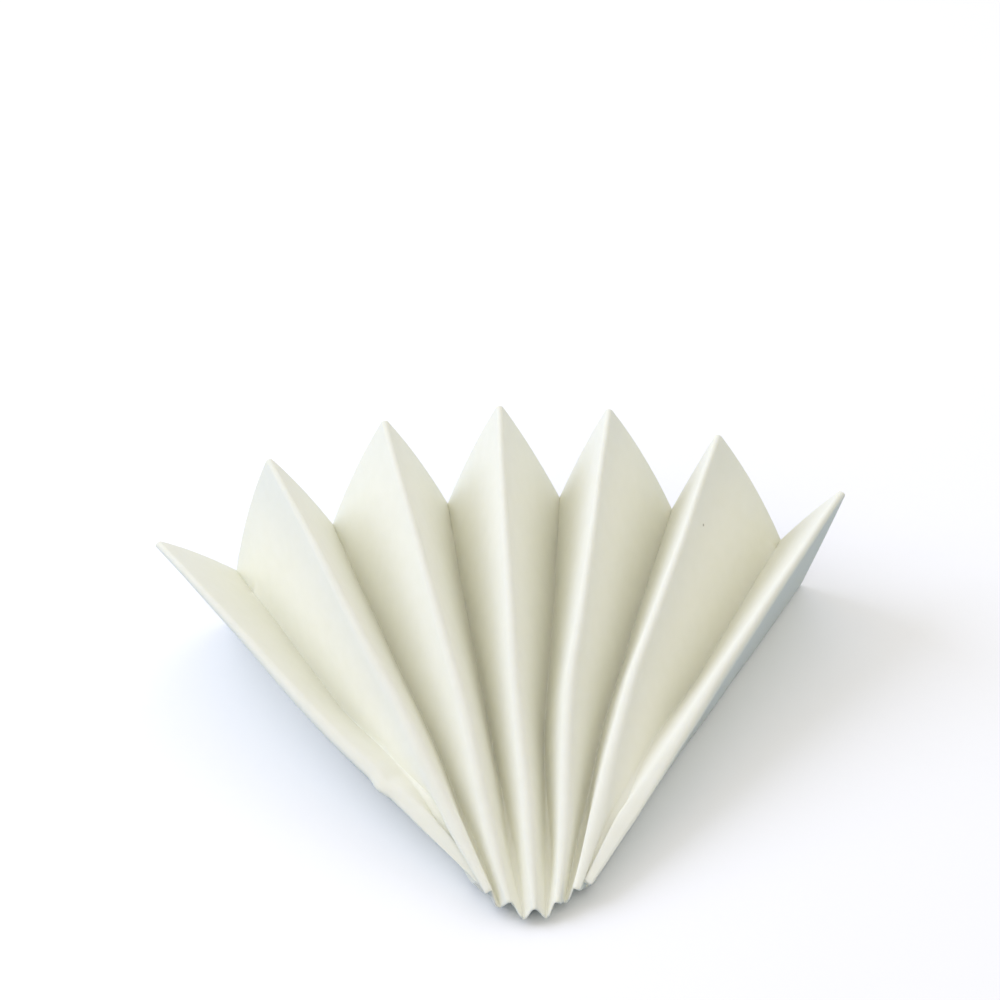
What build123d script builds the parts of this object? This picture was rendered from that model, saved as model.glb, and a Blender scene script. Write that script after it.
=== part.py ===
from build123d import *
from math import asin, atan2, copysign, cos, degrees, radians, sin, sqrt, tan
import os

# Driving sizes of the paper, in millimetres
disc_diameter = 240.0
paper_thickness = 0.25
fold_radius = 1.8
tip_plug = 3.0

# How far the folded paper stands open, in degrees
upper_spread_angle = 37.7
lower_spread_angle = 32.0
crown_rise_angle = 22.7
side_rise_angle = 15.2
mean_panel_angle = 15.0

# Upper layer, from left to right: each outward fold's share of the spread and of
# the rise from side to crown, then each panel's share of the mean panel
upper_bearing_shares = (-1.0, -0.655, -0.31, 0.02, 0.335, 0.645, 1.0)
upper_rise_shares = (0.0, 0.8, 1.0, 0.99, 0.885, 0.57, 0.0)
upper_panel_shares = (0.85, 1.045, 0.99, 1.055, 1.075, 1.07, 1.07, 1.035, 1.065, 0.935, 1.02, 0.84)

# Lower layer, from right to left: each outward fold's share of the spread, all on the table
lower_bearing_shares = (1.0, 0.465, 0.205, -0.2, -0.485, -0.93)

rim_radius = disc_diameter / 2
full_turn = 360
half_angle = degrees(asin(fold_radius / rim_radius))
flats_per_fold = 5
settling_passes = 8
blunt_tip_share = 1.13


def direction(bearing, rise):
    """Unit vector from the meeting point of the folds, turned right and lifted by these angles."""
    level = cos(radians(rise))
    return Vector(level * sin(radians(bearing)), level * cos(radians(bearing)), sin(radians(rise)))


def angle_between(first, second):
    """Angle in degrees between two unit vectors."""
    return degrees(atan2(first.cross(second).length, first.dot(second)))


def inward_fold(left, right, left_angle, right_angle):
    """The fold between two outward folds, at its own panel angle from each of them."""
    closeness = left.dot(right)
    left_cosine = cos(radians(left_angle))
    right_cosine = cos(radians(right_angle))
    spread = 1 - closeness**2
    level = left * ((left_cosine - closeness * right_cosine) / spread)
    level += right * ((right_cosine - closeness * left_cosine) / spread)
    depth = sqrt(max(0, 1 - level.dot(level)))
    return level + left.cross(right).normalized() * depth


def pleated_layer(outward, panel_angles):
    """All folds of one layer in turn, outward and inward."""
    folds = [outward[0]]
    for place in range(1, len(outward)):
        left_angle = panel_angles[2 * place - 2]
        right_angle = panel_angles[2 * place - 1]
        folds.append(inward_fold(outward[place - 1], outward[place], left_angle, right_angle))
        folds.append(outward[place])
    return folds


def fold_axes(crests):
    """Axis of the round cone that each fold is bent over, on the inner side of its bend."""
    axes = []
    for place, crest in enumerate(crests):
        chord = crests[place - 1] + crests[(place + 1) % len(crests)]
        inner = (chord - crest * chord.dot(crest)).normalized()
        axes.append(crest * cos(radians(half_angle)) + inner * sin(radians(half_angle)))
    return axes


def panel_normals(axes, sides):
    """Inward normal of each flat panel, which touches the cones of its two folds."""
    reach = sin(radians(half_angle))
    normals = []
    for place, axis in enumerate(axes):
        after = (place + 1) % len(axes)
        closeness = axis.dot(axes[after])
        spread = 1 - closeness**2
        level = axis * (reach * (sides[place] - closeness * sides[after]) / spread)
        level += axes[after] * (reach * (sides[after] - closeness * sides[place]) / spread)
        upright = axis.cross(axes[after]).normalized()
        normals.append(level + upright * sqrt(1 - level.dot(level)))
    return normals


def sheet_planes(crests, sides):
    """Inward normals of all flats in turn: those that round a fold, then the panel after it."""
    axes = fold_axes(crests)
    normals = panel_normals(axes, sides)
    planes = []
    for place, axis in enumerate(axes):
        before, after = normals[place - 1], normals[place]
        bend = Axis((0, 0, 0), axis * sides[place])
        step_angle = angle_between(before, after) / flats_per_fold
        for step in range(1, flats_per_fold):
            planes.append(before.rotate(bend, step_angle * step))
        planes.append(after)
    return planes


def folded_sheet(lower_panel_angle):
    """Inward normals of all flats of the folded disc, through the meeting point of its folds."""
    upper = []
    for bearing_share, rise_share in zip(upper_bearing_shares, upper_rise_shares):
        rise = side_rise_angle + (crown_rise_angle - side_rise_angle) * rise_share
        upper.append(direction(upper_spread_angle * bearing_share, rise))
    lower = [direction(lower_spread_angle * share, 0) for share in lower_bearing_shares]
    upper_angles = [mean_panel_angle * share for share in upper_panel_shares]
    lower_angles = [lower_panel_angle] * (2 * len(lower) - 2)
    crests = pleated_layer(upper, upper_angles) + pleated_layer(lower, lower_angles)
    sides = [1, -1] * (len(upper) - 1) + [1] + [1, -1] * (len(lower) - 1) + [1]
    return sheet_planes(crests, sides)


def unfolded_angle(planes):
    """Angle that the flattened sheet takes up around its centre."""
    creases = [normal.cross(planes[place - 1]).normalized() for place, normal in enumerate(planes)]
    creases = [crease * copysign(1, crease.Y) for crease in creases]
    return sum(angle_between(crease, creases[place - 1]) for place, crease in enumerate(creases))


def skin_corners(planes, depth, inset):
    """Corners of one skin of the sheet in the upright plane at this depth from the meeting point."""
    corners = []
    for place, normal in enumerate(planes):
        other = planes[place - 1]
        here = inset - normal.Y * depth
        there = inset - other.Y * depth
        spread = normal.X * other.Z - other.X * normal.Z
        across = (here * other.Z - there * normal.Z) / spread
        height = (there * normal.X - here * other.X) / spread
        corners.append(Vector(across, depth, height))
    return corners


def flat_face(corners):
    """The flat face that fills this outline."""
    return Face(Wire.make_polygon(corners, close=True))


def pleated_block(planes, near_depth, far_depth, inset):
    """Solid inside one skin of the sheet, between two upright planes."""
    near = skin_corners(planes, near_depth, inset)
    far = skin_corners(planes, far_depth, inset)
    faces = [flat_face(near), flat_face(far)]
    for place in range(len(near)):
        faces.append(flat_face([near[place - 1], near[place], far[place], far[place - 1]]))
    return Solid(Shell(faces))


# The lower pleats take up what the upper layer leaves of the full disc
lower_panel_angle = mean_panel_angle
for settling in range(settling_passes):
    planes = folded_sheet(lower_panel_angle)
    missing = full_turn - unfolded_angle(planes)
    lower_panel_angle += missing / (2 * len(lower_bearing_shares) - 2)

# The folds get tighter towards their meeting point, and the tip is blunt where they close up
mid_surface = paper_thickness / 2
closed_reach = mid_surface / tan(radians(half_angle))
tip_setback = closed_reach * blunt_tip_share
past_mouth = rim_radius + tip_setback

outer_block = pleated_block(planes, tip_setback, past_mouth, -mid_surface)
inner_block = pleated_block(planes, tip_setback + tip_plug, past_mouth, mid_surface)

with BuildPart() as folded:
    # The sheet lies between its outer and inner skins, and its layers are pressed together at the tip
    add(outer_block)
    add(inner_block, mode=Mode.SUBTRACT)
    # The disc's round rim is at the same distance from the meeting point everywhere
    Sphere(rim_radius, mode=Mode.INTERSECT)

box = folded.part.bounding_box()
foot = Vector(box.center().X, box.center().Y, box.min.Z)

with BuildPart() as filter_paper:
    add(folded.part.moved(Location(foot * -1)))

os.makedirs("parts", exist_ok=True)
filter_paper.part.label = "filter_paper"
export_step(filter_paper.part, "parts/filter_paper.step")
print("flat sheet", disc_diameter, "mm, unfolded angle", round(unfolded_angle(planes), 2))
print("foot at", foot)
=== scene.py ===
import math

import bpy
import numpy as np
from mathutils import Matrix, Vector


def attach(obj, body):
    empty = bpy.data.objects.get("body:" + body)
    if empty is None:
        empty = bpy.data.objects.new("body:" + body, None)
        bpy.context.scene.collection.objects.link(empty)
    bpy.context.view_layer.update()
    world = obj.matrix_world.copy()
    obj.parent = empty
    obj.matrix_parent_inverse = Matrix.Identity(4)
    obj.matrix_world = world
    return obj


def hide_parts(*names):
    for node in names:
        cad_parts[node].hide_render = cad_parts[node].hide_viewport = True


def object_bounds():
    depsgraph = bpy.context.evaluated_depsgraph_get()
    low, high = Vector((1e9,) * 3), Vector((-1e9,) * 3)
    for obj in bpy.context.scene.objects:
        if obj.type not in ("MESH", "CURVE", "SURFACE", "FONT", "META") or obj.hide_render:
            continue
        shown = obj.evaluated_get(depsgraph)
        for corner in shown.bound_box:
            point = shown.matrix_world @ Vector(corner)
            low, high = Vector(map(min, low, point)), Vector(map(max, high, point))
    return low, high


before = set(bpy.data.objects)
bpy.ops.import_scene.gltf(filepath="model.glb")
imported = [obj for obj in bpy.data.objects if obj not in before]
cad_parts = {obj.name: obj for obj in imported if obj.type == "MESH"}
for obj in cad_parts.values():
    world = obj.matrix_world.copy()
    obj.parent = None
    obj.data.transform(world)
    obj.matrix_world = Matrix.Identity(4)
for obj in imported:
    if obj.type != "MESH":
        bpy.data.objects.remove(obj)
cad_low, cad_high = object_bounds()

# Folded sheet: one round disc of cellulose filter paper, 240 mm across and a quarter of a millimetre
# thick. A machine pleated it from its centre to its rim, and a hand opened it half way, so that it
# lies on its lower folds. The creases are crisp at the rim and soften towards the blunt tip.
mm = 0.001
disc_radius = 120 * mm
paper_thickness = 0.25 * mm

# How far it stands open, in degrees, and how each fold shares in that
upper_spread, lower_spread = 37.7, 32.0
crown_rise, side_rise = 22.7, 15.2
mean_panel = 15.0
upper_bearing_shares = (-1.0, -0.655, -0.31, 0.02, 0.335, 0.645, 1.0)
upper_rise_shares = (0.0, 0.8, 1.0, 0.99, 0.885, 0.57, 0.0)
upper_panel_shares = (0.85, 1.045, 0.99, 1.055, 1.075, 1.07, 1.07, 1.035, 1.065, 0.935, 1.02, 0.84)
lower_bearing_shares = (1.0, 0.465, 0.205, -0.2, -0.485, -0.93)

# The folds would meet a little in front of the blunt tip of the frame's model
tip_setback = 9.41 * mm
foot_drop = 0.185 * mm
off_middle = -0.075 * mm
meeting_point = np.array((off_middle, cad_low.y - tip_setback, cad_low.z + foot_drop))


def unit(vector):
    """The vector, or each row of vectors, at length 1."""
    return vector / np.linalg.norm(vector, axis=-1, keepdims=True)


def smooth(share):
    """Eases from 0 to 1."""
    held = np.clip(share, 0, 1)
    return held * held * (3 - 2 * held)


def direction(bearing, rise):
    """Unit vector from the meeting point, turned right and lifted by these angles in degrees."""
    turn, lift = math.radians(bearing), math.radians(rise)
    level = math.cos(lift)
    return np.array((level * math.sin(turn), level * math.cos(turn), math.sin(lift)))


def inward_fold(left, right, left_angle, right_angle):
    """The fold between two outward folds, at its own panel angle from each of them."""
    closeness = left @ right
    left_cosine, right_cosine = math.cos(math.radians(left_angle)), math.cos(math.radians(right_angle))
    level = left * (left_cosine - closeness * right_cosine)
    level = level + right * (right_cosine - closeness * left_cosine)
    level /= 1 - closeness**2
    return level + unit(np.cross(left, right)) * math.sqrt(max(0, 1 - level @ level))


def pleated_layer(outward_folds, panel_angles):
    """All folds of one layer in turn, outward and inward."""
    folds = [outward_folds[0]]
    for place in range(1, len(outward_folds)):
        angles = panel_angles[2 * place - 2], panel_angles[2 * place - 1]
        folds.append(inward_fold(outward_folds[place - 1], outward_folds[place], *angles))
        folds.append(outward_folds[place])
    return folds


def folded_crests(lower_panel):
    """Directions of all folds in turn: the upper layer from the left, then the lower one from the right."""
    rises = [side_rise + (crown_rise - side_rise) * share for share in upper_rise_shares]
    upper = [direction(upper_spread * share, rise) for share, rise in zip(upper_bearing_shares, rises)]
    lower = [direction(lower_spread * share, 0) for share in lower_bearing_shares]
    upper_panels = [mean_panel * share for share in upper_panel_shares]
    lower_panels = [lower_panel] * (2 * len(lower) - 2)
    return np.array(pleated_layer(upper, upper_panels) + pleated_layer(lower, lower_panels))


# The lower pleats take up what the upper layer leaves of the full disc
full_turn = 360
settling_passes = 8
lower_panel = mean_panel
for settling in range(settling_passes):
    crests = folded_crests(lower_panel)
    taken = np.degrees(np.arccos(np.sum(crests * np.roll(crests, 1, 0), 1))).sum()
    lower_panel += (full_turn - taken) / (2 * len(lower_bearing_shares) - 2)
upper_folds = 2 * len(upper_bearing_shares) - 1
lower_folds = 2 * len(lower_bearing_shares) - 1
outward = np.array([1, -1] * (upper_folds // 2) + [1] + [1, -1] * (lower_folds // 2) + [1])
next_fold = np.roll(np.arange(len(crests)), -1)

# Steps of the mesh around each fold, across each panel and from the tip to the rim
arc_steps, panel_steps, length_steps = 8, 6, 96


def turned(vector, axis, angle):
    """The vector turned about a unit axis."""
    cosine, sine = math.cos(angle), math.sin(angle)
    return vector * cosine + np.cross(axis, vector) * sine + axis * (axis @ vector) * (1 - cosine)


def section(crests, rounding_angles):
    """Directions all around the sheet at one distance: arcs over narrow cones, joined by flat panels."""
    chords = np.roll(crests, 1, 0) + np.roll(crests, -1, 0)
    inner = unit(chords - crests * np.sum(crests * chords, 1)[:, None])
    axes = crests * np.cos(rounding_angles)[:, None] + inner * np.sin(rounding_angles)[:, None]
    offsets = outward * np.sin(rounding_angles)
    normals = []
    for fold, after in enumerate(next_fold):
        closeness = axes[fold] @ axes[after]
        level = axes[fold] * (offsets[fold] - closeness * offsets[after])
        level = (level + axes[after] * (offsets[after] - closeness * offsets[fold])) / (1 - closeness**2)
        normals.append(level + unit(np.cross(axes[fold], axes[after])) * math.sqrt(1 - level @ level))
    around = []
    for fold, after in enumerate(next_fold):
        before_normal, normal = normals[fold - 1], normals[fold]
        bend = math.atan2(np.linalg.norm(np.cross(before_normal, normal)), before_normal @ normal)
        for step in range(arc_steps + 1):
            leaning = turned(before_normal, axes[fold] * outward[fold], bend * step / arc_steps)
            around.append(unit(axes[fold] - leaning * (leaning @ axes[fold])))
        start, end = around[-1], unit(axes[after] - normal * (normal @ axes[after]))
        for step in range(1, panel_steps + 1):
            share = step / (panel_steps + 1)
            around.append(unit(start * (1 - share) + end * share))
    return np.array(around)


# For each column of the mesh, the fold before it and its share of the way to the next one
columns_per_fold = arc_steps + 1 + panel_steps
column_fold = np.repeat(np.arange(len(crests)), columns_per_fold)
panel_shares = [step / (panel_steps + 1) for step in range(1, panel_steps + 1)]
column_share = np.tile([0] * (arc_steps + 1) + panel_shares, len(crests))


def between_folds(values, shares):
    """The value at each column, from those of the folds on both sides of it."""
    return values[column_fold] * (1 - shares) + values[next_fold[column_fold]] * shares


# Where each fold ends at the tip, from the meeting point: the side folds stop far short of it, and
# the edge runs between the ends in soft lobes
upper_ends = np.array((19, 17.5, 14, 11, 10.8, 8, 9, 8, 10.2, 11.3, 13.5, 15.3, 16.8)) * mm
lower_ends = np.array((20, 17.5, 14.5, 12.5, 11.5, 10.5, 11.5, 13, 15.5, 21, 23)) * mm
column_ends = between_folds(np.concatenate([upper_ends, lower_ends]), smooth(column_share))

# Small unevenness of folds that a hand has opened, and of the panels between them, and one small
# bump in the left side fold
wander, steady_reach = 0.2 * mm, 25 * mm
wave_lengths = np.array((90, 47, 23)) * mm
wave_shares = np.array((0.6, 0.3, 0.15))
panel_swell = 0.3 * mm
flattest_swell, fullest_swell = -0.5, 1
bumped_fold = 0
bump_height, bump_width, bump_place = 0.7 * mm, 2 * mm, 38 * mm
chance = np.random.default_rng(11)
sideways_phases = chance.uniform(0, 2 * math.pi, (len(crests), len(wave_lengths)))
lifting_phases = chance.uniform(0, 2 * math.pi, (len(crests), len(wave_lengths)))
swells = panel_swell * chance.uniform(flattest_swell, fullest_swell, len(crests))


def wandered(crests, reach):
    """The folds' directions at one distance, a little off their straight lines."""
    moved = crests.copy()
    ease = wander * min(1, reach / steady_reach) / reach
    for fold, crest in enumerate(crests):
        aside = unit(np.cross(crest, (0, 0, 1)))
        sideways = wave_shares @ np.sin(2 * math.pi * reach / wave_lengths + sideways_phases[fold])
        moved[fold] = crest + aside * ease * sideways
        if fold < upper_folds:
            lifting = wave_shares @ np.sin(2 * math.pi * reach / wave_lengths + lifting_phases[fold])
            moved[fold] = moved[fold] + np.cross(aside, crest) * ease * lifting
        if fold == bumped_fold:
            off_bump = (reach - bump_place) / bump_width
            moved[fold] -= aside * bump_height / reach * math.exp(-(off_bump**2))
    return unit(moved)


# Rows of the mesh, closer together towards the tip. The creases are crisp at the rim and softer
# from half way in, and the inward ones stay crisp until near the tip
row_crowding = 1.2
rim_rounding, soft_rounding, softened_over = 0.65 * mm, 1.2 * mm, 70 * mm
rounding_limit_share = 0.05
inward_share, inward_share_at_tip = 0.2, 0.9
inward_soft_from, inward_softened_over = 45 * mm, 30 * mm
nearest = upper_ends.min()
rows = []
for step in range(length_steps + 1):
    share = (step / length_steps) ** row_crowding
    reach = nearest + (disc_radius - nearest) * share
    softening = smooth((disc_radius - reach) / softened_over)
    rounding = rim_rounding + (soft_rounding - rim_rounding) * softening
    rounding = min(rounding, rounding_limit_share * reach)
    tip_share = smooth((inward_soft_from - reach) / inward_softened_over)
    inward_rounding = rounding * (inward_share + (inward_share_at_tip - inward_share) * tip_share)
    roundings = np.where(outward > 0, rounding, inward_rounding)
    around = section(wandered(crests, reach), roundings / reach)
    rows.append(around * (column_ends + (disc_radius - column_ends) * share)[:, None])
sheet = np.array(rows)


def bearings_of(points):
    """How far each point lies to the right, as an angle at the meeting point."""
    return np.arctan2(points[..., 0], points[..., 1])


# Towards the tip the inward folds get shallower, most of all at the sides
middle_flattening, side_flattening = 0.12, 0.85
middle_flat_from, middle_flat_to = 30 * mm, 9 * mm
side_flat_from, side_flat_to = 75 * mm, 24 * mm
side_start_share, side_full_share = 0.4, 0.72
crest_bearings, crest_rises = bearings_of(crests), np.arcsin(crests[:, 2])
upper_crests = np.flatnonzero(outward[:upper_folds] > 0)
lower_crests = upper_folds + np.flatnonzero(outward[upper_folds:] > 0)
lower_crests = np.concatenate([[upper_folds - 1], lower_crests, [0]])[::-1]
bearings = bearings_of(sheet)
reaches = np.linalg.norm(sheet, axis=2)
outward_rises = np.where(
    column_fold < upper_folds,
    np.interp(bearings, crest_bearings[upper_crests], crest_rises[upper_crests]),
    np.interp(bearings, crest_bearings[lower_crests], crest_rises[lower_crests]),
)
spread_shares = abs(np.degrees(bearings)) / upper_spread
side_shares = np.clip((spread_shares - side_start_share) / (side_full_share - side_start_share), 0, 1)
flattening = middle_flattening + (side_flattening - middle_flattening) * side_shares
flattened_from = middle_flat_from + (side_flat_from - middle_flat_from) * side_shares
flattened_to = middle_flat_to + (side_flat_to - middle_flat_to) * side_shares
pressed = flattening * smooth((flattened_from - reaches) / (flattened_from - flattened_to))
sheet[:, :, 2] += (reaches * np.sin(outward_rises) - sheet[:, :, 2]) * pressed


def face_normals(grid):
    """Normal at each point of a grid that closes around its columns."""
    along_row = np.roll(grid, -1, 1) - np.roll(grid, 1, 1)
    return unit(np.cross(along_row, np.gradient(grid, axis=0)))


# Each panel swells a little across its middle, and not at the tip
swell_growth = 2.5
swell = swells[column_fold] * 4 * column_share * (1 - column_share)
swell_along = smooth(np.linspace(0, swell_growth, length_steps + 1))
sheet += face_normals(sheet) * (swell_along[:, None] * swell)[:, :, None]

# At the tip the paper turns under in a soft nose, which closes half way between the end of the
# upper layer and that of the lower one
nose, nose_steps = 0.5 * mm, 8
tuck = 0.4 * mm
first_column = bearings_of(sheet[0]).argmin()
sheet = np.roll(sheet, -first_column, axis=1)
tip_line = sheet[0].copy()
tip_bearings = bearings_of(tip_line)
last_upper = tip_bearings.argmax()
upper_columns = np.arange(last_upper + 1)
lower_columns = np.concatenate([[0], np.arange(sheet.shape[1] - 1, last_upper - 1, -1)])


def layer_line(columns, bearings):
    """Points of one layer's end at these bearings."""
    order = columns[np.argsort(tip_bearings[columns])]
    sides = [np.interp(bearings, tip_bearings[order], tip_line[order, axis]) for axis in range(3)]
    return np.stack(sides, 1)


opposite = np.empty_like(tip_line)
opposite[upper_columns] = layer_line(lower_columns, tip_bearings[upper_columns])
opposite[lower_columns] = layer_line(upper_columns, tip_bearings[lower_columns])
closing_line = (tip_line + opposite) / 2
closing_line[:, 1] += tuck
nose_rows = []
for step in range(nose_steps, 0, -1):
    angle = math.pi / 2 * step / nose_steps
    pulled = 1 - math.cos(angle)
    row = tip_line * (1 - pulled) + closing_line * pulled
    nose_rows.append(row - unit(tip_line) * nose * math.sin(2 * angle))
sheet = np.concatenate([nose_rows, sheet])

# The paper doesn't let the folds get narrower, so near the tip they crowd, most of them to the right
crowding = 3.1 * mm
crowding_shares = (0.75, 0.05, -0.6, -0.7, -0.45, -0.05, 0.35, 0.75, 1.1, 1.2, 1.3, 1.2, 0.65)
crowding_from, crowding_to = 56 * mm, 11 * mm
fold_pushes = np.interp(crest_bearings, crest_bearings[:upper_folds], crowding_shares)
fold_pushes[[upper_folds, -1]] = crowding_shares[-1], crowding_shares[0]
pushed = np.roll(between_folds(fold_pushes, column_share), -first_column)
crowded = smooth((crowding_from - sheet[:, :, 1]) / (crowding_from - crowding_to))
sheet[:, :, 0] += crowding * pushed * crowded


def seam_faces():
    """Triangles that sew the two layers' first rows together along the nose."""
    faces = []
    upper_place, lower_place = 0, 0
    upper_last, lower_last = len(upper_columns) - 1, len(lower_columns) - 1
    while upper_place < upper_last or lower_place < lower_last:
        here, there = upper_columns[upper_place], lower_columns[lower_place]
        upper_next = upper_columns[min(upper_place + 1, upper_last)]
        lower_next = lower_columns[min(lower_place + 1, lower_last)]
        upper_is_nearer = tip_bearings[upper_next] < tip_bearings[lower_next]
        if lower_place == lower_last or (upper_place < upper_last and upper_is_nearer):
            faces.append([upper_next, here, there])
            upper_place += 1
        else:
            faces.append([there, lower_next, here])
            lower_place += 1
    return [[int(corner) for corner in face] for face in faces if len(set(face)) == 3]


def thick_sheet(name, grid, first_row_faces, thickness):
    """Closed mesh of a sheet that runs around in each row, sewn up at its first row, with a free rim."""
    sharp_angle = 60
    rows, columns = grid.shape[:2]
    half = face_normals(grid) * thickness / 2
    points = np.concatenate([(grid + half).reshape(-1, 3), (grid - half).reshape(-1, 3)])
    skin = rows * columns
    here = np.arange(columns)
    after = (here + 1) % columns
    faces = list(first_row_faces)
    for row in range(rows - 1):
        low, high = row * columns, (row + 1) * columns
        faces += np.stack([low + here, low + after, high + after, high + here], 1).tolist()
    inside = [[corner + skin for corner in reversed(face)] for face in faces]
    rim = skin - columns
    edge = np.stack([rim + here, rim + after, skin + rim + after, skin + rim + here], 1).tolist()
    mesh = bpy.data.meshes.new(name)
    mesh.from_pydata(points.tolist(), [], faces + inside + edge)
    mesh.validate()
    mesh.shade_smooth()
    mesh.set_sharp_from_angle(angle=math.radians(sharp_angle))
    piece = bpy.data.objects.new(name, mesh)
    bpy.context.scene.collection.objects.link(piece)
    return piece


paper = thick_sheet("folded_paper", sheet + meeting_point, seam_faces(), paper_thickness)
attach(paper, "root")
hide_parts("filter_paper")


def linear(hex_colour):
    """The linear values of an sRGB hex colour."""
    parts = [int(hex_colour[place:place + 2], 16) / 255 for place in (0, 2, 4)]
    return [part / 12.92 if part <= 0.04045 else ((part + 0.055) / 1.055) ** 2.4 for part in parts] + [1]


def node(material, kind, settings=None, values=None, links=None):
    """Adds a node with its settings, its input values and its links from other nodes' outputs."""
    added = material.node_tree.nodes.new(kind)
    for name, setting in (settings or {}).items():
        setattr(added, name, setting)
    for name, value in (values or {}).items():
        added.inputs[name].default_value = value
    for name, output in (links or {}).items():
        material.node_tree.links.new(output, added.inputs[name])
    return added


# Uncoated cellulose, wet-laid on a wire and dried without glaze: matt, a warm white that is a little
# cloudy where the fibres lie thicker, thin enough to let some light through, with one dark fibre speck
thin_colour, thick_colour, speck_colour = linear("F1F0E0"), linear("F6F5E7"), linear("8F8468")
cloud_width, fibre_width = 3 * mm, 0.35 * mm
fibre_height = 0.03 * mm
speck_radius = 0.28 * mm
speck_outer_share, speck_inner_share, speck_darkness = 1.4, 0.6, 0.7
light_depth = 0.4 * mm
# The speck lies near the rim, just right of the sixth outward fold of the upper layer
speck_row, speck_fold = -16, 10
speck_column = speck_fold * columns_per_fold + arc_steps + 1 - first_column
speck_place = sheet[speck_row, speck_column] + meeting_point

cellulose = bpy.data.materials.new("wet_laid_cellulose")
cellulose.use_nodes = True
cellulose.node_tree.nodes.clear()
place = node(cellulose, "ShaderNodeTexCoord").outputs["Object"]
clouds = node(
    cellulose, "ShaderNodeTexNoise",
    values={"Scale": 1 / cloud_width, "Detail": 3}, links={"Vector": place},
)
fibres = node(
    cellulose, "ShaderNodeTexNoise",
    values={"Scale": 1 / fibre_width, "Detail": 2}, links={"Vector": place},
)
thickness_tint = node(
    cellulose, "ShaderNodeMixRGB", values={"Color1": thin_colour, "Color2": thick_colour},
    links={"Fac": clouds.outputs["Fac"]},
)
speck_distance = node(
    cellulose, "ShaderNodeVectorMath", {"operation": "DISTANCE"}, {1: speck_place}, {0: place},
)
speck = node(
    cellulose, "ShaderNodeMapRange",
    values={
        "From Min": speck_radius * speck_outer_share, "From Max": speck_radius * speck_inner_share,
        "To Max": speck_darkness,
    },
    links={"Value": speck_distance.outputs["Value"]},
)
colour = node(
    cellulose, "ShaderNodeMixRGB", values={"Color2": speck_colour},
    links={"Fac": speck.outputs["Result"], "Color1": thickness_tint.outputs["Color"]},
)
relief = node(
    cellulose, "ShaderNodeBump", values={"Strength": 0.3, "Distance": fibre_height},
    links={"Height": fibres.outputs["Fac"]},
)
surface = node(
    cellulose, "ShaderNodeBsdfPrincipled",
    values={
        "Roughness": 0.92, "IOR": 1.47, "Specular IOR Level": 0.3,
        "Subsurface Weight": 0.5, "Subsurface Radius": (1, 0.95, 0.8), "Subsurface Scale": light_depth,
    },
    links={"Base Color": colour.outputs["Color"], "Normal": relief.outputs["Normal"]},
)
node(cellulose, "ShaderNodeOutputMaterial", links={"Surface": surface.outputs["BSDF"]})
paper.data.materials.append(cellulose)

# Studio floor: a wide matt board under the lowest folds, which holds the paper's soft shadow. It
# looks white, and the light that it sends back under the paper is dimmer and cool
floor_reach = 6
floor_gap = 0.1 * mm
seen_colour, bounced_colour = linear("FFFFFF"), linear("93A8BE")
floor_mesh = bpy.data.meshes.new("floor")
floor_corners = [(-floor_reach, -floor_reach, 0), (floor_reach, -floor_reach, 0)]
floor_corners += [(floor_reach, floor_reach, 0), (-floor_reach, floor_reach, 0)]
floor_mesh.from_pydata(floor_corners, [], [(0, 1, 2, 3)])
floor = bpy.data.objects.new("floor", floor_mesh)
floor.location.z = cad_low.z - floor_gap
bpy.context.scene.collection.objects.link(floor)
board = bpy.data.materials.new("matt_painted_board")
board.use_nodes = True
board.node_tree.nodes.clear()
rays = node(board, "ShaderNodeLightPath").outputs
seen = node(
    board, "ShaderNodeMath", {"operation": "ADD", "use_clamp": True},
    links={0: rays["Is Camera Ray"], 1: rays["Is Glossy Ray"]},
)
seen = node(
    board, "ShaderNodeMath", {"operation": "ADD", "use_clamp": True},
    links={0: seen.outputs["Value"], 1: rays["Is Transmission Ray"]},
)
board_colour = node(
    board, "ShaderNodeMixRGB", values={"Color1": bounced_colour, "Color2": seen_colour},
    links={"Fac": seen.outputs["Value"]},
)
paint = node(board, "ShaderNodeBsdfDiffuse", links={"Color": board_colour.outputs["Color"]})
node(board, "ShaderNodeOutputMaterial", links={"Surface": paint.outputs["BSDF"]})
floor_mesh.materials.append(board)

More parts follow.
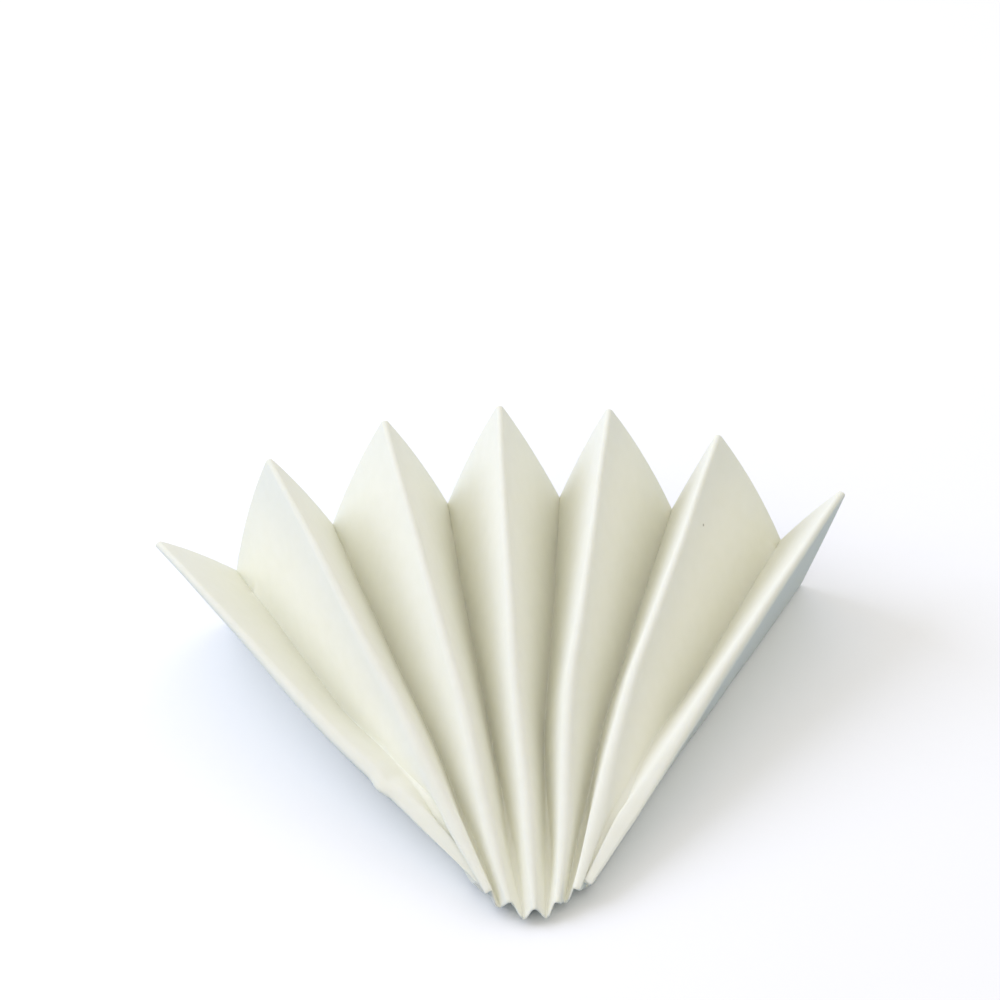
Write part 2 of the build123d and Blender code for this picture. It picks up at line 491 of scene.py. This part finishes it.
# Light: an evenly lit white room, and two weak, soft and cool lamps behind on the left and the right
scene = bpy.context.scene
room_strength = 0.8
lamp_width, lamp_distance = 0.5, 0.6
room = bpy.data.worlds.new("white_room")
room.use_nodes = True
room.node_tree.nodes.clear()
rays = node(room, "ShaderNodeLightPath").outputs
room_light = node(room, "ShaderNodeBackground", values={"Color": linear("FFFCF5"), "Strength": room_strength})
backdrop = node(room, "ShaderNodeBackground", values={"Color": linear("FFFFFF"), "Strength": 1})
room_look = node(
    room, "ShaderNodeMixShader",
    links={0: rays["Is Camera Ray"], 1: room_light.outputs[0], 2: backdrop.outputs[0]},
)
node(room, "ShaderNodeOutputWorld", links={"Surface": room_look.outputs["Shader"]})
scene.world = room


def soft_lamp(name, toward, watts, hex_colour):
    """Round lamp that shines on the middle of the object from this side."""
    lamp = bpy.data.lights.new(name, "AREA")
    lamp.shape = "DISK"
    lamp.size = lamp_width
    lamp.energy = watts
    lamp.color = linear(hex_colour)[:3]
    holder = bpy.data.objects.new(name, lamp)
    aim = Vector(toward).normalized()
    holder.location = aim * lamp_distance
    holder.rotation_euler = aim.to_track_quat("Z", "Y").to_euler()
    scene.collection.objects.link(holder)


soft_lamp("left_lamp", toward=(-0.7, 0.25, 0.65), watts=1.9, hex_colour="D6E0FF")
soft_lamp("right_lamp", toward=(0.4, 0.6, 0.7), watts=0.4, hex_colour="C4D0FF")

# Camera: above and in front of the blunt tip, turned a little about its own line of sight
focal_pixels, frame_pixels = 2500, 1000
meeting_pixel = (531.6, 953.7)
meeting_distance = 460.3 * mm
nearest_seen = 10 * mm
sensor_width = 36
view_turn, view_fall, view_roll = (math.radians(angle) for angle in (-0.09, 36.76, 4.28))
level_length = math.cos(view_fall)
forward = Vector((
    math.sin(view_turn) * level_length, math.cos(view_turn) * level_length, -math.sin(view_fall),
))
level_right = Vector((math.cos(view_turn), -math.sin(view_turn), 0))
level_down = forward.cross(level_right)
right = level_right * math.cos(view_roll) + level_down * math.sin(view_roll)
down = level_down * math.cos(view_roll) - level_right * math.sin(view_roll)
across, below = (
    (pixel - frame_pixels / 2) / focal_pixels * meeting_distance for pixel in meeting_pixel
)
lens = bpy.data.cameras.new("camera")
lens.sensor_width = sensor_width
lens.lens = sensor_width * focal_pixels / frame_pixels
lens.clip_start = nearest_seen
camera = bpy.data.objects.new("camera", lens)
stand = Vector(meeting_point) - right * across - down * below - forward * meeting_distance
axes = Matrix((right, -down, -forward)).transposed()
camera.matrix_world = Matrix.Translation(stand) @ axes.to_4x4()
scene.collection.objects.link(camera)
scene.camera = camera
scene.view_settings.view_transform = "Standard"
